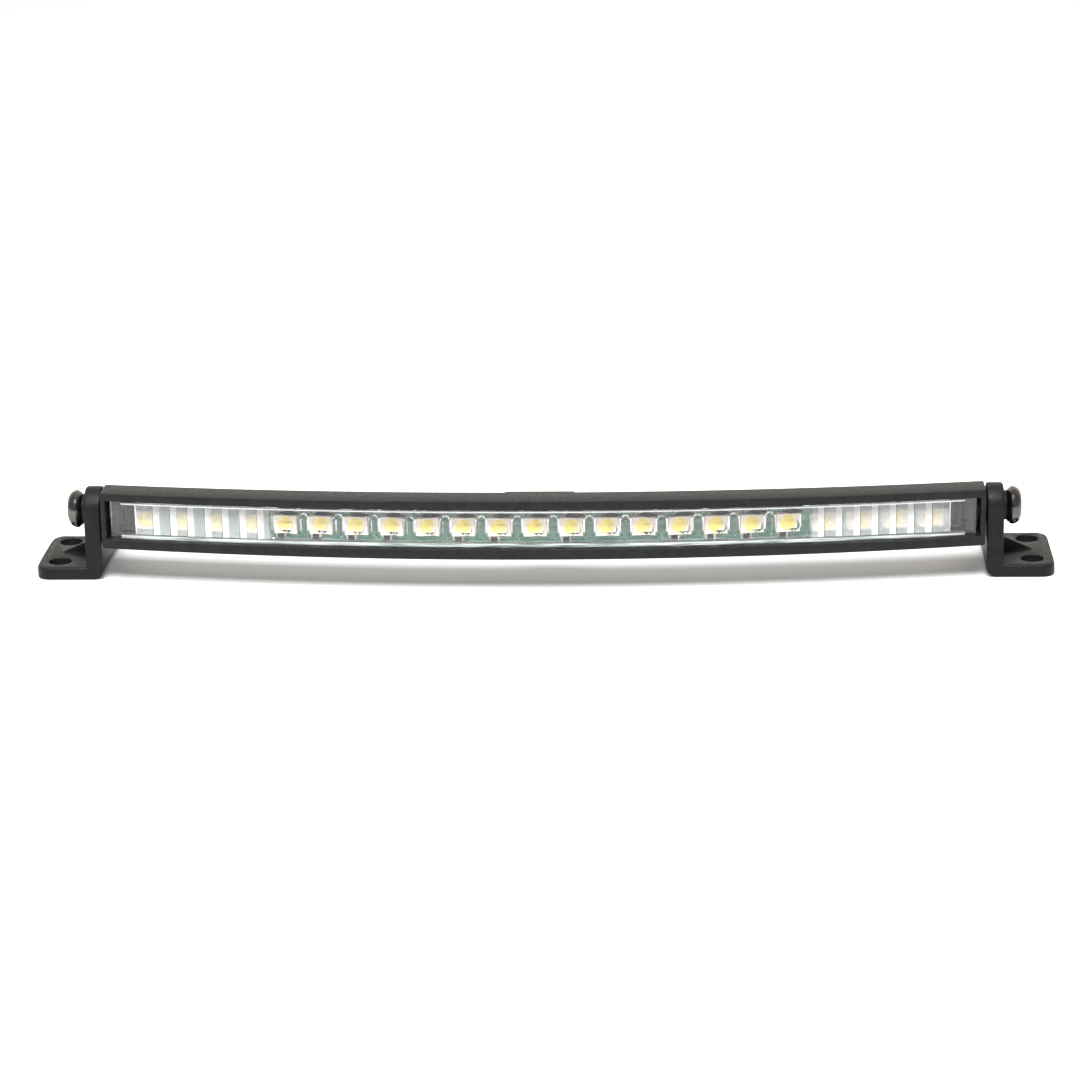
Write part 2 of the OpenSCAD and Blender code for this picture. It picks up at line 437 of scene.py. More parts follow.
def clear_plastic(name, gloss, tint, waviness, haze=0.0, light=(1, 1, 1), size=3.0, stretch=1):
    """Clear moulding that lets lamps through; haze adds what a textured face scatters."""
    paint = Paint(name, IOR=1.5, Transmission_Weight=1.0 - haze)
    streaks = paint.noise(size, 2, (stretch, stretch, 1))
    paint.base(streaks, [(0.35, tint), (0.65, light)])
    paint.rough(paint.noise(0.8, 3), *gloss)
    paint.bump(paint.noise(1.2, 2), waviness, 0.5)
    through = paint.node("BsdfTransparent")
    path = paint.node("LightPath")
    mix = paint.node("MixShader")
    out = paint.tree.nodes["Material Output"]
    paint.link(path.outputs["Is Shadow Ray"], mix.inputs["Fac"])
    paint.link(paint.shader.outputs["BSDF"], mix.inputs[1])
    paint.link(through.outputs["BSDF"], mix.inputs[2])
    paint.link(mix.outputs["Shader"], out.inputs["Surface"])
    return paint.material


def solder_mask(name, dark, light):
    """Green lacquer over glass cloth: uneven colour and a faint weave."""
    paint = Paint(name, Coat_Weight=0.3, Coat_Roughness=0.15)
    paint.base(paint.noise(0.9, 5), [(0.3, dark), (0.7, light)])
    paint.rough(paint.noise(0.4, 3), 0.3, 0.5)
    paint.bump(paint.noise(0.15, 2, (1, 1, 3)), 0.006, 0.6)
    return paint.material


def white_frame(name):
    """Glossy white LED moulding, a little pink and uneven."""
    paint = Paint(name, IOR=1.5, Subsurface_Weight=0.0)
    paint.base(paint.noise(0.7, 3), [(0.3, (0.9, 0.78, 0.68)), (0.7, (0.96, 0.85, 0.76))])
    paint.rough(paint.noise(0.3, 3), 0.3, 0.45)
    paint.bump(paint.noise(0.2, 2), 0.004, 0.5)
    return paint.material


def phosphor(name):
    """Silicone full of yellow phosphor, deeper in colour where it is thicker."""
    paint = Paint(name, IOR=1.42)
    paint.base(paint.noise(0.5, 4),
               [(0.3, (0.98, 0.72, 0.13)), (0.55, (1.0, 0.82, 0.22)), (0.75, (1.0, 0.9, 0.36))])
    paint.rough(paint.noise(0.15, 2), 0.25, 0.45)
    paint.bump(paint.noise(0.06, 2), 0.004, 0.6)
    return paint.material


def metal(name, colour, light, rough, grain_mm):
    """Plated or oxidised metal with uneven gloss."""
    paint = Paint(name, Metallic=1.0)
    paint.base(paint.noise(1.0, 4), [(0.3, colour), (0.7, light)])
    paint.rough(paint.noise(grain_mm, 3), *rough)
    paint.bump(paint.noise(grain_mm, 2), 0.004, 0.5)
    return paint.material


def black_ceramic(name):
    """Dull black body of a chip resistor, with a fine speckle."""
    paint = Paint(name)
    paint.base(paint.noise(0.2, 3), [(0.3, (0.012, 0.012, 0.014)), (0.7, (0.035, 0.035, 0.04))])
    paint.rough(paint.noise(0.2, 3), 0.35, 0.6)
    paint.bump(paint.noise(0.08, 2), 0.004, 0.6)
    return paint.material


HOUSING_PLASTIC = moulded_plastic("housing_plastic", (0.006, 0.006, 0.0065),
                                  (0.01, 0.01, 0.011), 0.28, 0.25)
BRACKET_PLASTIC = moulded_plastic("bracket_plastic", (0.005, 0.005, 0.0055),
                                  (0.0082, 0.0082, 0.0092), 0.34, 0.21)
CLEAR = clear_plastic("clear_lens", (0.0, 0.03), (0.97, 0.985, 0.98), 0.01)
FROSTED = clear_plastic("frosted_lens", (0.14, 0.24), (0.84, 0.88, 0.89), 0.02, 0.38, size=0.5)
# Painted highlight: a hazy white clear plastic that stands in for light caught on the rib slopes,
# the ridges' upper sides and the lens's top front edge.
PAINTED_HIGHLIGHT = clear_plastic("lens_painted_highlight", (0.2, 0.3), (0.98, 0.99, 0.99), 0.02, 0.85)
# Painted highlight: streaky bright haze on the lip under the groove, standing in for the band of
# light along the lens's lower edge.
PAINTED_HIGHLIGHT_LIP = clear_plastic("lens_lip_painted_highlight", (0.1, 0.25), (0.2, 0.24, 0.23), 0.02, 0.55,
                           (0.95, 0.97, 0.97), 0.3, 0.05)
# Painted shade: a dark brownish tint on the groove, the ridges' back faces and the rib roots,
# standing in for shade and a painted reflection of the dark housing.
PAINTED_SHADE = clear_plastic("lens_painted_shade", (0.0, 0.05), (0.13, 0.13, 0.12), 0.01, 0.4, (0.24, 0.23, 0.2))
MASK = solder_mask("solder_mask", (0.05, 0.15, 0.11), (0.09, 0.23, 0.17))
MASKED_TRACK = solder_mask("masked_track", (0.1, 0.26, 0.19), (0.15, 0.34, 0.26))
LED_WHITE = white_frame("led_frame")
PHOSPHOR = phosphor("phosphor")
SOLDER = metal("solder", (0.62, 0.62, 0.6), (0.82, 0.82, 0.8), (0.15, 0.35), 0.2)
CHIP_BLACK = black_ceramic("chip_black")
BLACK_STEEL = metal("black_steel", (0.07, 0.065, 0.062), (0.14, 0.132, 0.125), (0.16, 0.26), 0.5)


# ---------------------------------------------------------------- housing
def housing_outline():
    """Outer section from the front's lower edge round the finned rear to its upper edge."""
    rear_low, rear_top = BAR_Z + SLOPE_H, BAR_TOP - SLOPE_H
    pitch = (rear_top - rear_low) / (2 * FINS - 1)
    points = [(0, BAR_Z), (TOP_D / 2, BAR_Z), (TOP_D, BAR_Z), (SLOPE_D, rear_low)]
    for i in range(FINS):
        z = rear_low + 2 * i * pitch
        points += [(BAR_D, z), (BAR_D, z + pitch)]
        if i < FINS - 1:
            points += [(BAR_D - FIN_D, z + pitch), (BAR_D - FIN_D, z + 2 * pitch)]
    return points + [(SLOPE_D, rear_top), (TOP_D, BAR_TOP), (TOP_D / 2, BAR_TOP), (0, BAR_TOP)]


def cavity_outline():
    """Hollow from the window's upper edge round the board's ledges to its lower edge."""
    low, top = WINDOW_Z + LEDGE_H, WINDOW_TOP - LEDGE_H
    return [(0, WINDOW_TOP), (LEDGE_D, WINDOW_TOP), (LEDGE_D, top), (HOLLOW_D, top),
            (HOLLOW_D, low), (LEDGE_D, low), (LEDGE_D, WINDOW_Z), (0, WINDOW_Z)]


def crowned(x, d, z):
    """A point of the outer section, pulled in towards the ends of the bar."""
    squeeze = 1 - 2 * CROWN / BAR_H * (x / END_X) ** 2
    return at_x(x, d, BAR_MID_Z + (z - BAR_MID_Z) * squeeze)


def housing_shell(bm):
    outer, inner = housing_outline(), cavity_outline()
    window_x = END_X - END_WALL
    rows = []
    for x in spread(-window_x, window_x, 66):
        ring = [crowned(x, d, z) for d, z in outer] + [at_x(x, d, z) for d, z in inner]
        rows.append([bm.verts.new(p) for p in ring])
    for a, b in zip(rows, rows[1:]):
        join_rings(bm, a, b)
    for row, x in ((rows[0], -END_X), (rows[-1], END_X)):
        rim = row[:len(outer)] + [row[len(outer)], row[-1]]
        tip = [crowned(x, d, z) for d, z in outer] + [at_x(x, *inner[0]), at_x(x, *inner[-1])]
        tip = [bm.verts.new(p) for p in tip]
        join_rings(bm, rim, tip)
        bm.faces.new(tip)
        bm.faces.new(row[len(outer):])


def housing_radius(p):
    """How round each edge of the tray is."""
    d = depth_of(p)
    outside = p.z > WINDOW_TOP + 0.1 or p.z < WINDOW_Z - 0.1 or d > HOLLOW_D + 0.1
    if abs(p.x) > END_X - TINY:
        return 0.3 if d > TINY * 5 else 0.18
    if d < 0.05:
        return 0.16
    if not outside or d < LEDGE_D + 0.1:
        return 0
    if abs(d - TOP_D) < 0.05:
        return 0.45
    return 0.14


OUTLET_HALF = 5.2
OUTLET_D = 9.4
OUTLET_PROUD = 0.5
OUTLET_Z = 9.4
OUTLET_SUNK_D = HOLLOW_D + 0.3
OUTLET_SUNK_Z = WINDOW_TOP - LEDGE_H + 0.3
CABLE_R = 1.3
INNER_BOSS_R = 2.4
INNER_BOSS_X = 61.9
SPACER_R = 2.6


def outlet_block(bm):
    """The raised block that the lead leaves through."""
    slope = SLOPE_H / (SLOPE_D - TOP_D)
    top_end = BAR_TOP - slope * (OUTLET_D - TOP_D - OUTLET_PROUD)
    behind, above = OUTLET_SUNK_D, OUTLET_SUNK_Z
    foot_z = BAR_Z + SLOPE_H + 0.3
    outline = [(TOP_D - 0.5, BAR_TOP - TINY), (TOP_D + OUTLET_PROUD, BAR_TOP - TINY),
               (OUTLET_D, top_end), (OUTLET_D, foot_z), (behind, foot_z), (behind, above),
               (TOP_D - 0.5, above)]
    prism(bm, outline, -OUTLET_HALF, OUTLET_HALF, lambda d, z, x: Vector((x, d - FRONT_Y, z)))


def outlet_radius(p):
    """Round where the block shows, sharp where it is sunk in the housing."""
    d = p.y + FRONT_Y
    sunk = d < TOP_D - 0.4 or abs(d - OUTLET_SUNK_D) < TINY or abs(p.z - OUTLET_SUNK_Z) < TINY
    return 0 if sunk else 0.35


def cable_hole(bm):
    """The lead's hole, with a small countersink at the rear."""
    turn = Matrix.Translation((0, LEDGE_D - FRONT_Y, OUTLET_Z)) @ Matrix.Rotation(
        math.pi / 2, 4, "Z")
    depth = OUTLET_D - LEDGE_D
    lathe(bm, [(0, CABLE_R), (depth - 0.3, CABLE_R), (depth, CABLE_R + 0.3),
               (depth + 1, CABLE_R + 0.3)], turn)


def end_bosses(bm):
    """Inside each end the boss that takes the screw, and outside the thin spacer round it."""
    for side in (-1, 1):
        inner, outer = side * INNER_BOSS_X, side * (END_X - 0.1)
        lathe(bm, [(inner, INNER_BOSS_R - 0.15), (inner + side * 0.15, INNER_BOSS_R),
                   (outer, INNER_BOSS_R)], on_pivot())
        start, end = side * (END_X - END_WALL / 2), side * (END_X + SPACER_T)
        lathe(bm, [(start, SPACER_R), (end - side * 0.1, SPACER_R), (end, SPACER_R - 0.1)],
              on_pivot())


def screw_holes(bm):
    for side in (-1, 1):
        a, b = side * (INNER_BOSS_X - 1), side * (END_X + 1)
        lathe(bm, [(a, SCREW_R - THREAD_DEEP), (b, SCREW_R - THREAD_DEEP)], on_pivot(), 32)


def make_housing():
    plastic = [HOUSING_PLASTIC]
    tray = round_edges(shape(housing_shell, plastic), housing_radius)
    block = round_edges(shape(outlet_block, plastic), outlet_radius)
    combine(tray, block, "UNION")
    combine(tray, shape(end_bosses, plastic), "UNION")
    combine(tray, shape(screw_holes, plastic), "DIFFERENCE")
    combine(tray, shape(cable_hole, plastic), "DIFFERENCE")
    piece(tray, "housing_tray", "light_bar", ["housing"])


# ---------------------------------------------------------------- lens
def lens_body(bm):
    """The main bar of the lens: stepped front with a lip, plate, and rims at top and bottom."""
    low, top = LENS_Z, LENS_TOP
    rear = BOARD_D - 0.05
    inset = BLOCK_INSET
    groove_d = LENS_D + GROOVE_DEEP
    outline = [(LENS_D, low + inset), (FLANGE_D, low + inset), (FLANGE_D, low), (rear, low),
               (rear, low + LENS_RIM), (PLATE_D, low + LENS_RIM), (PLATE_D, top - LENS_RIM),
               (rear, top - LENS_RIM), (rear, top), (FLANGE_D, top), (FLANGE_D, top - inset),
               (LENS_D, top - inset), (LENS_D, LIP_TOP + GROOVE_W),
               (groove_d, LIP_TOP + GROOVE_W - 0.03), (groove_d, LIP_TOP + 0.03),
               (LENS_D, LIP_TOP)]
    swept(bm, outline, -BLOCK_HALF, BLOCK_HALF, ARC_STEPS)


def lens_radius(p):
    """Round at the front's outer edges, nearly sharp elsewhere."""
    in_groove = abs(p.z - LIP_TOP - GROOVE_W / 2) < GROOVE_W
    return FRONT_BEVEL if depth_of(p) < LENS_D + 0.05 and not in_groove else 0.03


def lens_flanges(bm):
    """Thin lower end flanges that slide behind the window's ends."""
    outline = [(FLANGE_D, LENS_Z + TINY), (PLATE_D - TINY, LENS_Z + TINY),
               (PLATE_D - TINY, LENS_TOP - TINY), (FLANGE_D, LENS_TOP - TINY)]
    for side in (-1, 1):
        swept(bm, outline, side * (BLOCK_HALF - 1), side * FLANGE_HALF, 4)


def flange_radius(p):
    """Only the flange's outer corners are round."""
    outer = abs(p.x) > (FRONT_R - PLATE_D) * math.sin(FLANGE_HALF / FRONT_R) - 0.4
    return 0.35 if outer and FLANGE_D + 0.1 < depth_of(p) < PLATE_D - 0.1 else 0.05


def rib_cuts(bm):
    """Saw-tooth notches in the back: upright outer side, slope towards the middle."""
    past = 0.3
    low, high = LENS_Z + LENS_RIM + 0.05, LENS_TOP - LENS_RIM - 0.05
    slope_w = RIB_W * (1 + past / RIB_DEEP)
    for side in (-1, 1):
        for i in range(2 * FLOOD_COUNT):
            place = turned_to(side * (RIB_START + i * PITCH / 2))
            outline = [(0, PLATE_D - RIB_DEEP), (0, PLATE_D + past),
                       (-side * slope_w, PLATE_D + past), (-side * ROOT_W, PLATE_D - RIB_DEEP)]
            prism(bm, outline, low, high, lambda x, d, z: place @ Vector((x, d, z)))


def cup_s(i):
    """Place of a cup along the arc."""
    return (i - (CUP_COUNT - 1) / 2) * PITCH


def dimple_cutters(bm):
    """A small round dimple in the front of each cup."""
    ball_r = (DIMPLE_R ** 2 + DIMPLE_DEEP ** 2) / (2 * DIMPLE_DEEP)
    edge = math.asin(DIMPLE_R / ball_r)
    bowl = [(LENS_D + DIMPLE_DEEP - ball_r * (1 - math.cos(a)), ball_r * math.sin(a))
            for a in spread(0, edge, 9)]
    outline = bowl + [(LENS_D - 0.4, DIMPLE_R + 0.2), (LENS_D - 0.4, 0)]
    for i in range(CUP_COUNT):
        turn = turned_to(cup_s(i)) @ Matrix.Translation((0, 0, CUP_Z)) @ Matrix.Rotation(
            math.pi / 2, 4, "Z")
        lathe(bm, outline, turn, 48)


def arch_outline():
    """A narrow arch standing on two legs, as a band of even thickness."""
    inside = ARCH_HALF - ARCH_WALL
    outer = arc_points(0, ARCH_TOP - ARCH_HALF, ARCH_HALF, 0, 180, 12)
    inner = arc_points(0, ARCH_TOP - ARCH_HALF, inside, 180, 0, 12)
    return [(ARCH_HALF, ARCH_FOOT)] + outer + [(-ARCH_HALF, ARCH_FOOT), (-inside, ARCH_FOOT)] \
        + inner + [(inside, ARCH_FOOT)]


def brow_outline():
    """An almond shape over a cup: arched above, hanging below."""
    reach = spread(-1, 1, 16)
    return [(BROW_HALF * t, BROW_Z + BROW_ARCH * (1 - t * t)) for t in reach] \
        + [(BROW_HALF * t, BROW_Z - BROW_SAG * (1 - t * t)) for t in reach[-2:0:-1]]


def lens_back(bm):
    """Low walls on the back: a brow over each cup, an arch between LEDs, a wall at each end."""
    start, end = PLATE_D - 0.05, BOARD_D - 0.2
    for i in range(CUP_COUNT):
        place = turned_to(cup_s(i))
        prism(bm, brow_outline(), start, end, lambda x, z, d: place @ Vector((x, d, z)))
    half, low, top = EDGE_WALL_HALF, LENS_Z + 0.2, LENS_TOP - 0.2
    wall = [(-half, low), (half, low), (half, top), (-half, top)]
    for side in (-1, 1):
        place = turned_to(side * EDGE_WALL_S)
        prism(bm, wall, start, end, lambda x, z, d: place @ Vector((x, d, z)))
    for i in range(CUP_COUNT - 1):
        place = turned_to(cup_s(i) + BOARD_SHIFT + PITCH / 2)
        prism(bm, arch_outline(), start, end, lambda x, z, d: place @ Vector((x, d, z)))


CLEAR_FACE, FROSTED_FACE, PAINTED_HIGHLIGHT_FACE, LIP_HIGHLIGHT_FACE, PAINTED_SHADE_FACE = range(5)


def mark_lip_faces(obj):
    """Paints light on the lens: a painted highlight on the lip under the groove, the top front
    edge and the ridges' upper sides, and painted shade in the groove and on the ridges' other
    faces.
    """
    for face in obj.data.polygons:
        p, d = face.center, depth_of(face.center)
        if d < LENS_D + FRONT_BEVEL and p.z > LENS_TOP - BLOCK_INSET - FRONT_BEVEL:
            # Painted highlight on the top front edge.
            face.material_index = PAINTED_HIGHLIGHT_FACE if face.normal.z > 0.1 else CLEAR_FACE
        elif d < LENS_D + FRONT_BEVEL and p.z < LIP_TOP:
            # Painted highlight on the lip below the groove.
            face.material_index = LIP_HIGHLIGHT_FACE
        elif d < FLANGE_D and LIP_TOP < p.z < LIP_TOP + GROOVE_W:
            # Painted shade in the groove.
            face.material_index = PAINTED_SHADE_FACE
        elif PLATE_D + 0.05 < d and BROW_Z - 0.3 < p.z < BROW_Z + 0.4:
            # Painted highlight on the ridges' upper sides, painted shade on their other faces.
            face.material_index = PAINTED_HIGHLIGHT_FACE if face.normal.z > 0.3 else PAINTED_SHADE_FACE


def mark_flood_faces(obj):
    """Textured faces behind the ribs: the flats frosted, the slopes with a painted highlight, the
    roots with painted shade.
    """
    edge = CUP_COUNT * PITCH / 2
    last_slope = RIB_START + (2 * FLOOD_COUNT - 1) * PITCH / 2 - RIB_W - 0.1
    for face in obj.data.polygons:
        p = face.center
        s = FRONT_R * math.atan2(p.x, ARC_Y - p.y)
        inside = LENS_Z + LENS_RIM < p.z < LENS_TOP - LENS_RIM
        if not inside or not edge < abs(s) < BLOCK_HALF - 2.6 or depth_of(p) < PLATE_D - 0.7:
            continue
        outward = Vector((math.sin(s / FRONT_R), -math.cos(s / FRONT_R), 0))
        straight = -face.normal.dot(outward)
        if straight > 0.99:
            on_flat = depth_of(p) > PLATE_D - RIB_DEEP + 0.1
            # Frosted flats, and painted shade on the rib roots.
            face.material_index = FROSTED_FACE if on_flat else PAINTED_SHADE_FACE
        elif straight > 0.5:
            # Painted highlight on the rib slopes, frosted on the last one.
            face.material_index = PAINTED_HIGHLIGHT_FACE if abs(s) < last_slope else FROSTED_FACE


def make_lens():
    faces = [CLEAR, FROSTED, PAINTED_HIGHLIGHT, PAINTED_HIGHLIGHT_LIP, PAINTED_SHADE]
    body = round_edges(shape(lens_body, faces), lens_radius, 3, 40)
    flanges = round_edges(shape(lens_flanges, [CLEAR]), flange_radius, 2, 40)
    combine(body, flanges, "UNION")
    combine(body, shape(rib_cuts, [CLEAR]), "DIFFERENCE")
    combine(body, shape(dimple_cutters, [CLEAR]), "DIFFERENCE")
    combine(body, shape(lens_back, [CLEAR]), "UNION")
    mark_lip_faces(body)
    mark_flood_faces(body)
    piece(body, "clear_lens_moulding", "light_bar", ["lens"], 15)


# ---------------------------------------------------------------- circuit board
def led_s(i):
    """Place of LED i, counted from 0, along the arc."""
    return (i - (LED_COUNT - 1) / 2) * PITCH + BOARD_SHIFT


def board_block(bm, s, z, size, slot, taper=0.0):
    """A low block on the board's front: size is (along, up, thickness)."""
    place = turned_to(s)
    w, h, t = size
    rings = []
    for depth, k in ((BOARD_D + 0.02, 0.0), (BOARD_D - t, taper)):
        x, y = w / 2 - k, h / 2 - k
        rings.append([place @ Vector((u, depth, z + v))
                      for u, v in ((-x, -y), (x, -y), (x, y), (-x, y))])
    skin(bm, rings, slot)


def board_strip(bm):
    """The bare board, bent to the bar's curve."""
    half = (board_high.x - board_low.x) / 2
    outline = [(BOARD_D, board_low.z), (BOARD_D + BOARD_T, board_low.z),
               (BOARD_D + BOARD_T, board_high.z), (BOARD_D, board_high.z)]
    swept(bm, outline, BOARD_SHIFT - half, BOARD_SHIFT + half, 92)


def board_details(bm):
    """Solder lands under each LED, tracks between them, and a row of small vias."""
    for i in range(LED_COUNT):
        s = led_s(i)
        for side in (-1, 1):
            board_block(bm, s + side * (LED_W / 2 + 0.02), LED_Z, (0.5, 2.1, 0.07), 1, taper=0.03)
        if i < LED_COUNT - 1:
            board_block(bm, s + PITCH / 2, LED_Z + 0.5, (1.3, 0.8, 0.03), 2)
            board_block(bm, s + PITCH / 2 + 0.2, 7.6, (0.3, 0.3, 0.05), 1, taper=0.06)
        board_block(bm, s + 0.6, 7.75, (2.0, 0.24, 0.03), 2)
        board_block(bm, s, 11.45, (4.4, 0.3, 0.03), 2)


def board_parts(bm):
    """Strip and details as separate closed shells of one mesh."""
    board_strip(bm)
    board_details(bm)


def make_board():
    board = shape(board_parts, [MASK, SOLDER, MASKED_TRACK])
    piece(board, "circuit_board", "light_bar", ["led_board"], 25)


def resistor_parts(bm):
    """Chip resistors: black body, tinned wrap-round ends and a fillet of solder at each."""
    for i in RESISTOR_AT:
        s = led_s(i - 1) + RESISTOR_SHIFT
        board_block(bm, s, RESISTOR_Z, (0.98, 0.74, 0.42), 0, taper=0.03)
        for side in (-1, 1):
            board_block(bm, s + side * 0.62, RESISTOR_Z, (0.34, 0.78, 0.45), 1, taper=0.05)
            board_block(bm, s + side * 0.83, RESISTOR_Z, (0.4, 0.8, 0.22), 1, taper=0.17)


def make_resistors():
    chips = shape(resistor_parts, [CHIP_BLACK, SOLDER])
    piece(chips, "chip_resistor_set", "light_bar", ["chip_resistors"], 20)


# ---------------------------------------------------------------- LEDs
SIDE_STEPS = 8


def rectangle_ring(w, h):
    """Points round a rectangle, with its corners among them."""
    x, y = w / 2, h / 2
    corners = [(x, -y), (x, y), (-x, y), (-x, -y)]
    ring = []
    for (x0, y0), (x1, y1) in zip(corners, corners[1:] + corners[:1]):
        ring += [(x0 + (x1 - x0) * t, y0 + (y1 - y0) * t) for t in spread(0, 1, SIDE_STEPS)[:-1]]
    return ring


def circle_ring(r, like):
    """Points round a circle, each in the direction of a point of another ring."""
    return [(x / math.hypot(x, y) * r, y / math.hypot(x, y) * r) for x, y in like]


def led_package(bm):
    """White frame with chamfered front, phosphor well, and a metal foot at each end."""
    outer = rectangle_ring(LED_W, LED_H)
    levels = [(outer, BOARD_D - 0.02), (outer, LED_D + 0.3),
              (rectangle_ring(LED_W - 0.12, LED_H - 0.12), LED_D + 0.03),
              (rectangle_ring(LED_W - 0.18, LED_H - 0.18), LED_D),
              (circle_ring(PHOSPHOR_R + 0.03, outer), LED_D),
              (circle_ring(PHOSPHOR_R, outer), LED_D + 0.02),
              (circle_ring(PHOSPHOR_R - 0.05, outer), LED_D + 0.1)]
    rings = [[Vector((x, d, LED_Z + z)) for x, z in ring] for ring, d in levels]
    skin(bm, rings)
    well = Matrix.Translation((0, LED_D + 0.09, LED_Z)) @ Matrix.Rotation(-math.pi / 2, 4, "Z")
    r = PHOSPHOR_R - 0.04
    dome = [(0.05 * math.cos(a), r * math.sin(a)) for a in spread(0, math.pi / 2, 6)]
    lathe(bm, [(-0.005, 0), (-0.005, r)] + dome[::-1], well, 40, 1)
    for side in (-1, 1):
        x0, x1 = side * (LED_W / 2 - 0.3), side * (LED_W / 2 + 0.08)
        outline = [(x0, -1.05), (x1, -0.95), (x1, 0.95), (x0, 1.05)]
        prism(bm, outline, BOARD_D - 0.2, BOARD_D - 0.04,
              lambda x, z, d: Vector((x, d, LED_Z + z)), 2)


def make_leds():
    """One shared mesh, placed at each LED of the board."""
    first = shape(led_package, [LED_WHITE, PHOSPHOR, SOLDER])
    finish_mesh(first.data, "led_package", 25)
    for i, node in enumerate(LED_NAMES):
        obj = first if i == 0 else linked(first.data)
        place = turned_to(led_s(i))
        place.translation *= MM
        obj.matrix_world = place
        join_frame(obj, "package_" + node, "light_bar", [node])


# ---------------------------------------------------------------- brackets
def upright_outline():
    """Side view: straight front, round top about the pivot, slope back down to the foot."""
    reach_y, reach_z = FOOT_Y - PIVOT_Y, FOOT_T - PIVOT_Z
    far = math.hypot(reach_y, reach_z)
    tangent = 90 + math.degrees(math.atan2(reach_z, reach_y)) \
        - math.degrees(math.asin(POST_R / far))
    top = arc_points(PIVOT_Y, PIVOT_Z, POST_R, 180, tangent, 24)
    return [(-FOOT_Y, 0)] + top + [(FOOT_Y, FOOT_T), (FOOT_Y, 0)]


def foot_outline():
    """Plan of a foot: square at the upright, round at its two outer corners."""
    x, y, r = FOOT_X - CORNER_R, FOOT_Y - CORNER_R, CORNER_R
    return [(POST_X, -FOOT_Y)] + arc_points(x, -y, r, -90, 0, 10) \
        + arc_points(x, y, r, 0, 90, 10) + [(POST_X, FOOT_Y)]


def upright(bm):
    prism(bm, upright_outline(), POST_X, POST_X + POST_T, lambda y, z, x: Vector((x, y, z)))


def foot(bm):
    prism(bm, foot_outline(), 0, FOOT_T, lambda x, y, z: Vector((x, y, z)))


def gusset(bm):
    """Thin stiffening rib between the upright and the foot."""
    x0, z0 = POST_X + POST_T, FOOT_T
    outline = [(x0 - 0.3, z0 - 0.3), (GUSSET_X, z0 - 0.3), (GUSSET_X, z0),
               (x0 + 0.4, z0 + GUSSET_H), (x0 - 0.3, z0 + GUSSET_H)]
    prism(bm, outline, -GUSSET_T / 2, GUSSET_T / 2, lambda x, z, y: Vector((x, y, z)))


def bracket_boss(bm):
    x = POST_X + POST_T
    lathe(bm, [(x - 0.3, BOSS_R), (x + BOSS_T, BOSS_R)], on_pivot())


def bracket_bores(bm):
    lathe(bm, [(POST_X - 1, BORE_R), (POST_X + POST_T + 1.5, BORE_R)], on_pivot())
    for side in (-1, 1):
        turn = Matrix.Translation((HOLE_X, side * HOLE_Y, -1)) @ Matrix.Rotation(
            -math.pi / 2, 4, "Y")
        lathe(bm, [(0, HOLE_R), (FOOT_T + 2, HOLE_R)], turn)


def bend_wedge(bm):
    """What the round bend takes off the lower inner edge."""
    outline = [(POST_X - 1, -1), (POST_X + BEND_R, -1)] \
        + arc_points(POST_X + BEND_R, BEND_R, BEND_R, 270, 180, 10) + [(POST_X - 1, BEND_R)]
    prism(bm, outline, -FOOT_Y - 1, FOOT_Y + 1, lambda x, z, y: Vector((x, y, z)))


def bracket_radius(p):
    """Generous along the upright's outer rim, small at the bores and the gusset."""
    near_bore = math.hypot(p.y - PIVOT_Y, p.z - PIVOT_Z) < BOSS_R + 0.1
    near_hole = math.hypot(p.x - HOLE_X, abs(p.y) - HOLE_Y) < HOLE_R + 0.1
    on_gusset = abs(p.y) < GUSSET_T and p.z > FOOT_T - 0.1
    inner_corner = abs(p.x - POST_X - POST_T) < 0.05 and p.z < FOOT_T + 0.05
    if near_bore or near_hole:
        return 0.12
    if on_gusset:
        return 0.1
    if inner_corner:
        return 0
    if p.z < 0.05 or (p.z < BEND_R and p.x < POST_X + BEND_R):
        return 0.22
    return 0.4 if p.x > POST_X + 0.2 else 0.22


def make_bracket(side_name):
    plastic = [BRACKET_PLASTIC]
    body = shape(upright, plastic)
    combine(body, shape(foot, plastic), "UNION")
    combine(body, shape(bend_wedge, plastic), "DIFFERENCE")
    combine(body, shape(gusset, plastic), "UNION")
    combine(body, shape(bracket_boss, plastic), "UNION")
    combine(body, shape(bracket_bores, plastic), "DIFFERENCE")
    round_edges(body, bracket_radius)
    if side_name == "left":
        mirror(body)
    piece(body, side_name + "_end_bracket", "brackets",
          [side_name + "_bracket"])


# ---------------------------------------------------------------- pivot screws
HEAD_R = 2.85
HEAD_T = 2.15
HEAD_X = screw_high.x - HEAD_T
UNDER_R = 2.3
RIM_T = 0.7
FLAT_R = 1.5
SOCKET_R = 1.15
SOCKET_DEEP = 1.2
THREAD_PITCH = 0.5


def screw_head(bm):
    """Button head: under-cut rim and a dome up to the flat round the socket."""
    dome = [(HEAD_X + RIM_T + (HEAD_T - RIM_T) * math.sin(a),
             FLAT_R + (HEAD_R - FLAT_R) * math.cos(a)) for a in spread(0, math.pi / 2, 10)]
    neck = SCREW_R - THREAD_DEEP - 0.02
    lathe(bm, [(HEAD_X - 0.3, neck), (HEAD_X, neck), (HEAD_X, UNDER_R)] + dome, on_pivot(), 64)


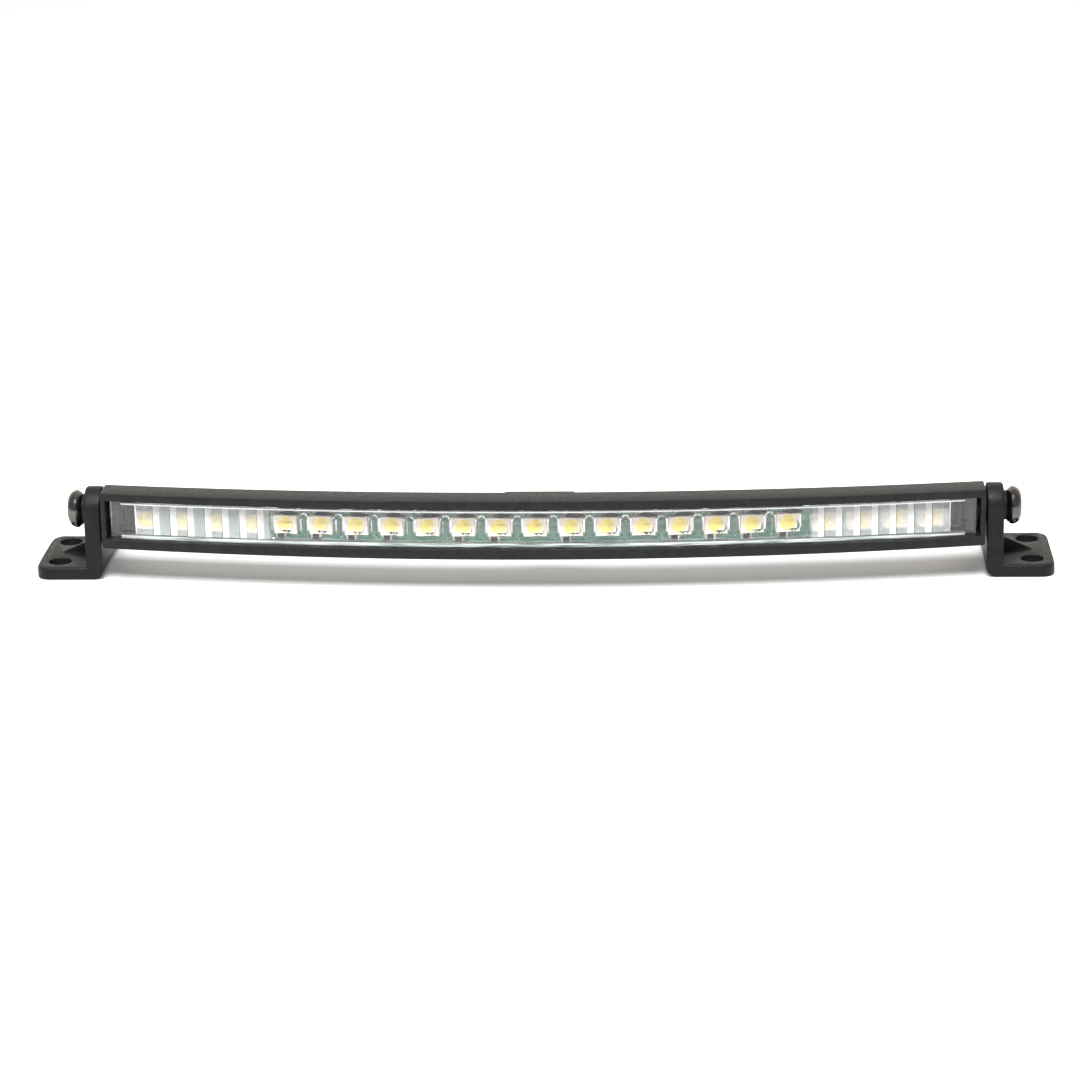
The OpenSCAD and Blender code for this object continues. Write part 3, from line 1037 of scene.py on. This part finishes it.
def screw_thread(bm):
    """Helical thread: the radius follows a saw-tooth that runs round and along the shank."""
    rings = []
    end, start = screw_low.x, HEAD_X - 0.2
    for x in spread(end, start, round((start - end) / THREAD_PITCH * 8)):
        ring = []
        for a in spread(0, 2 * math.pi, 32)[:-1]:
            phase = (x / THREAD_PITCH - a / (2 * math.pi)) % 1
            chamfer = min(1, 0.35 + (x - end) / 0.5)
            crest = 1 - abs(2 * phase - 1)
            r = (SCREW_R - THREAD_DEEP - 0.02 + THREAD_DEEP * crest) * chamfer
            ring.append(Vector((x, PIVOT_Y + r * math.cos(a), PIVOT_Z + r * math.sin(a))))
        rings.append(ring)
    skin(bm, rings)


def socket_cutter(bm):
    x = screw_high.x
    hexagon = arc_points(0, 0, SOCKET_R, 0, 360, 6)[:-1]
    prism(bm, hexagon, x - SOCKET_DEEP, x + 0.5,
          lambda y, z, w: Vector((w, PIVOT_Y + y, PIVOT_Z + z)))


def make_screw(side_name):
    steel = [BLACK_STEEL]
    screw = shape(screw_head, steel)
    combine(screw, shape(screw_thread, steel), "UNION")
    combine(screw, shape(socket_cutter, steel), "DIFFERENCE")
    if side_name == "left":
        mirror(screw)
    piece(screw, side_name + "_button_screw", "light_bar",
          [side_name + "_pivot_screw"], 35)


# ---------------------------------------------------------------- stage, light, camera
FLOOR_GAP = 0.00003
FLOOR_HALF = 6


def make_floor():
    """A wide pale floor that runs past the camera's view."""
    paint = Paint("floor_paper", Specular_IOR_Level=0.1)
    paint.base(paint.noise(40, 2), [(0.3, (0.86, 0.86, 0.865)), (0.7, (0.88, 0.88, 0.88))])
    paint.rough(paint.noise(5, 2), 0.8, 0.9)
    bm = bmesh.new()
    bmesh.ops.create_grid(bm, x_segments=2, y_segments=2, size=FLOOR_HALF)
    mesh = bpy.data.meshes.new("floor")
    bm.to_mesh(mesh)
    bm.free()
    mesh.materials.append(paint.material)
    floor = bpy.data.objects.new("floor", mesh)
    floor.location.z = -FLOOR_GAP
    bpy.context.scene.collection.objects.link(floor)


def make_world():
    """White surroundings, dimmer and cooler in front of the bar than above and behind it."""
    world = bpy.data.worlds.new("studio")
    bpy.context.scene.world = world
    world.use_nodes = True
    tree = world.node_tree
    background = tree.nodes["Background"]
    place = tree.nodes.new("ShaderNodeTexCoord")
    split = tree.nodes.new("ShaderNodeSeparateXYZ")
    ramp = tree.nodes.new("ShaderNodeValToRGB")
    spread_y = tree.nodes.new("ShaderNodeMapRange")
    spread_y.inputs["From Min"].default_value = -1
    spread_y.inputs["From Max"].default_value = 1
    middle = ramp.color_ramp.elements.new(0.6)
    ramp.color_ramp.elements[0].color = (0.42, 0.43, 0.46, 1)
    middle.color = (0.5, 0.5, 0.51, 1)
    ramp.color_ramp.elements[2].color = (1.45, 1.37, 1.23, 1)
    tree.links.new(place.outputs["Generated"], split.inputs["Vector"])
    tree.links.new(split.outputs["Y"], spread_y.inputs["Value"])
    tree.links.new(spread_y.outputs["Result"], ramp.inputs["Fac"])
    tree.links.new(ramp.outputs["Color"], background.inputs["Color"])
    background.inputs["Strength"].default_value = 1.1


def soft_light(name, place, target, size, power, colour):
    """A square softbox that faces its target."""
    lamp = bpy.data.lights.new(name, "AREA")
    lamp.shape = "RECTANGLE"
    lamp.size, lamp.size_y = size
    lamp.energy = power
    lamp.color = colour
    obj = bpy.data.objects.new(name, lamp)
    obj.location = place
    obj.rotation_mode = "QUATERNION"
    obj.rotation_quaternion = (Vector(target) - Vector(place)).to_track_quat("-Z", "Y")
    bpy.context.scene.collection.objects.link(obj)


KEY_PLACE = (-0.06, -0.33, 0.65)
KEY_SIZE = (0.5, 0.4)
KEY_POWER = 10.5
KEY_COLOUR = (1, 0.99, 0.98)


def make_lights():
    soft_light("key_softbox", KEY_PLACE, (0, 0, 0), KEY_SIZE, KEY_POWER, KEY_COLOUR)


CAMERA_AZIMUTH = 3.13
CAMERA_ELEVATION = 17.81
CAMERA_ROLL = -1.16
CAMERA_AIM = Vector((-0.1, -9.5, 6.5)) * MM
CAMERA_DISTANCE = 521 * MM
CAMERA_LENS = 117.03


def make_camera():
    """Looks at the middle of the bar from a little above and to the right."""
    azimuth, elevation = math.radians(CAMERA_AZIMUTH), math.radians(CAMERA_ELEVATION)
    away = Vector((math.sin(azimuth) * math.cos(elevation),
                   -math.cos(azimuth) * math.cos(elevation), math.sin(elevation)))
    data = bpy.data.cameras.new("camera")
    data.lens = CAMERA_LENS
    data.sensor_width = 36
    camera = bpy.data.objects.new("camera", data)
    camera.location = CAMERA_AIM + away * CAMERA_DISTANCE
    camera.rotation_mode = "QUATERNION"
    camera.rotation_quaternion = (-away).to_track_quat("-Z", "Y") @ Matrix.Rotation(
        math.radians(CAMERA_ROLL), 3, "Z").to_quaternion()
    bpy.context.scene.collection.objects.link(camera)
    bpy.context.scene.camera = camera


def set_render_look():
    scene = bpy.context.scene
    scene.view_settings.view_transform = "Standard"
    scene.cycles.transparent_max_bounces = 24
    scene.cycles.transmission_bounces = 16
    scene.cycles.max_bounces = 20


# ---------------------------------------------------------------- the scene
make_housing()
make_lens()
make_board()
make_resistors()
make_leds()
for side_name in ("left", "right"):
    make_bracket(side_name)
    make_screw(side_name)
make_floor()
make_world()
make_lights()
make_camera()
set_render_look()
